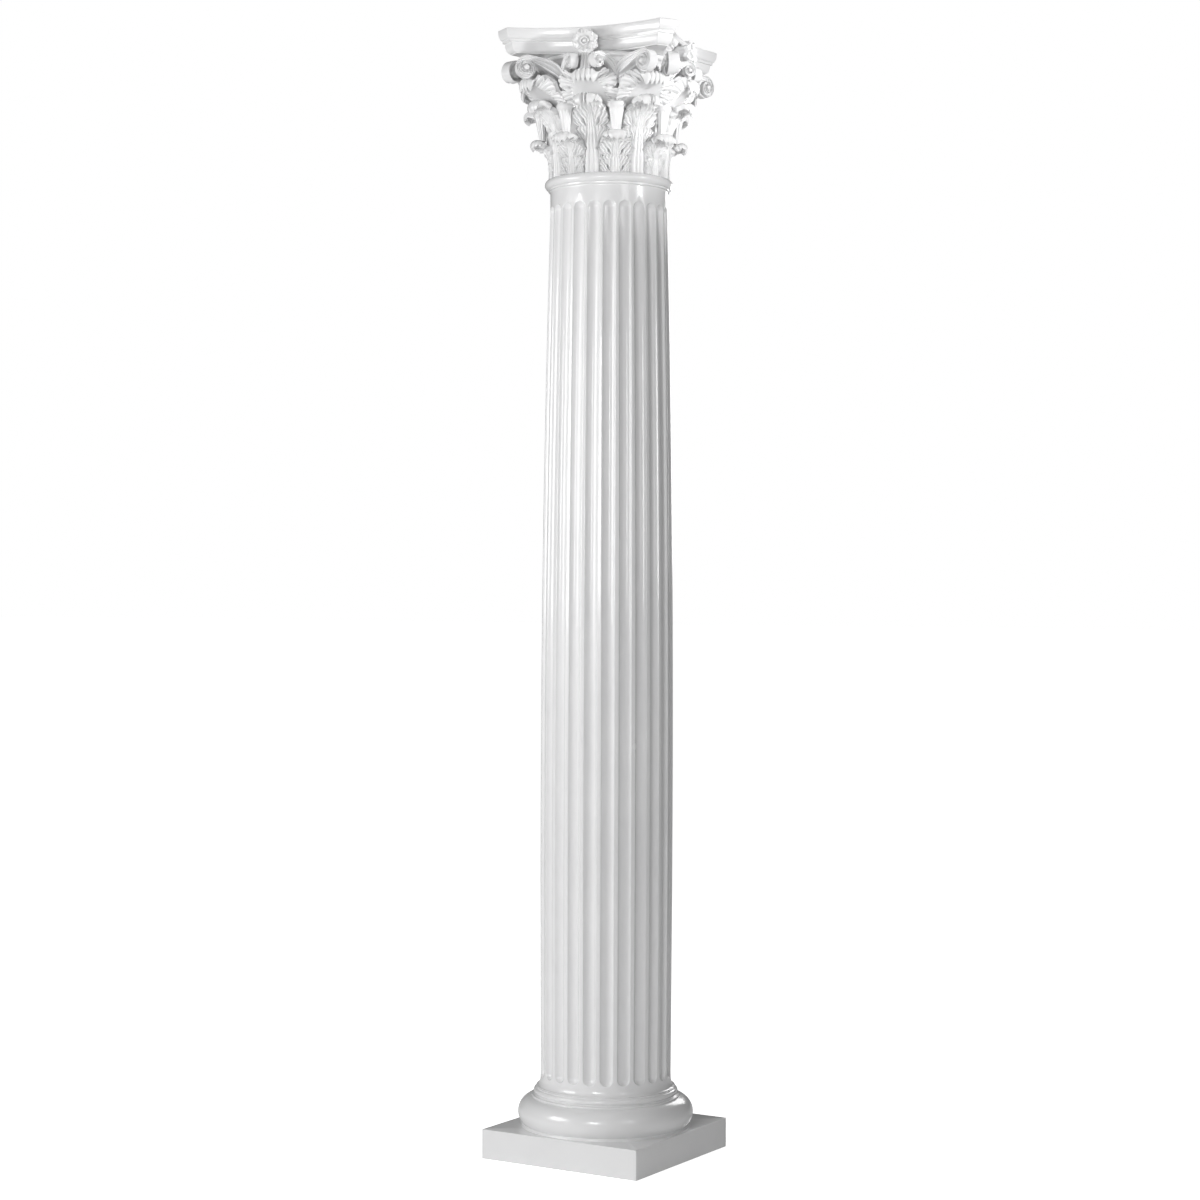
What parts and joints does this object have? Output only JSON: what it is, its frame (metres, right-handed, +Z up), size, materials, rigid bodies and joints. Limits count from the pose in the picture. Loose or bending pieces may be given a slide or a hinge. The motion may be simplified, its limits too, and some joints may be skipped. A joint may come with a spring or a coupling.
{
  "type": "fluted column with a corinthian capital",
  "caption": "Hollow fluted column with entasis, a torus base on a square plinth and a leafy capital with corner volutes.",
  "frame": {"origin": "centre of the plinth's underside", "axes": "+Z up along the column's axis, -Y and +X out of two faces of the plinth"},
  "size_m": [0.4966, 0.4966, 2.552],
  "materials": {
    "gloss_paint": "smooth gloss white paint on glass-fibre composite"
  },
  "bodies": {
    "root": {"base": "gloss_paint", "shaft_front_half": "gloss_paint", "shaft_back_half": "gloss_paint", "capital": "gloss_paint"}
  },
  "joints": []
}
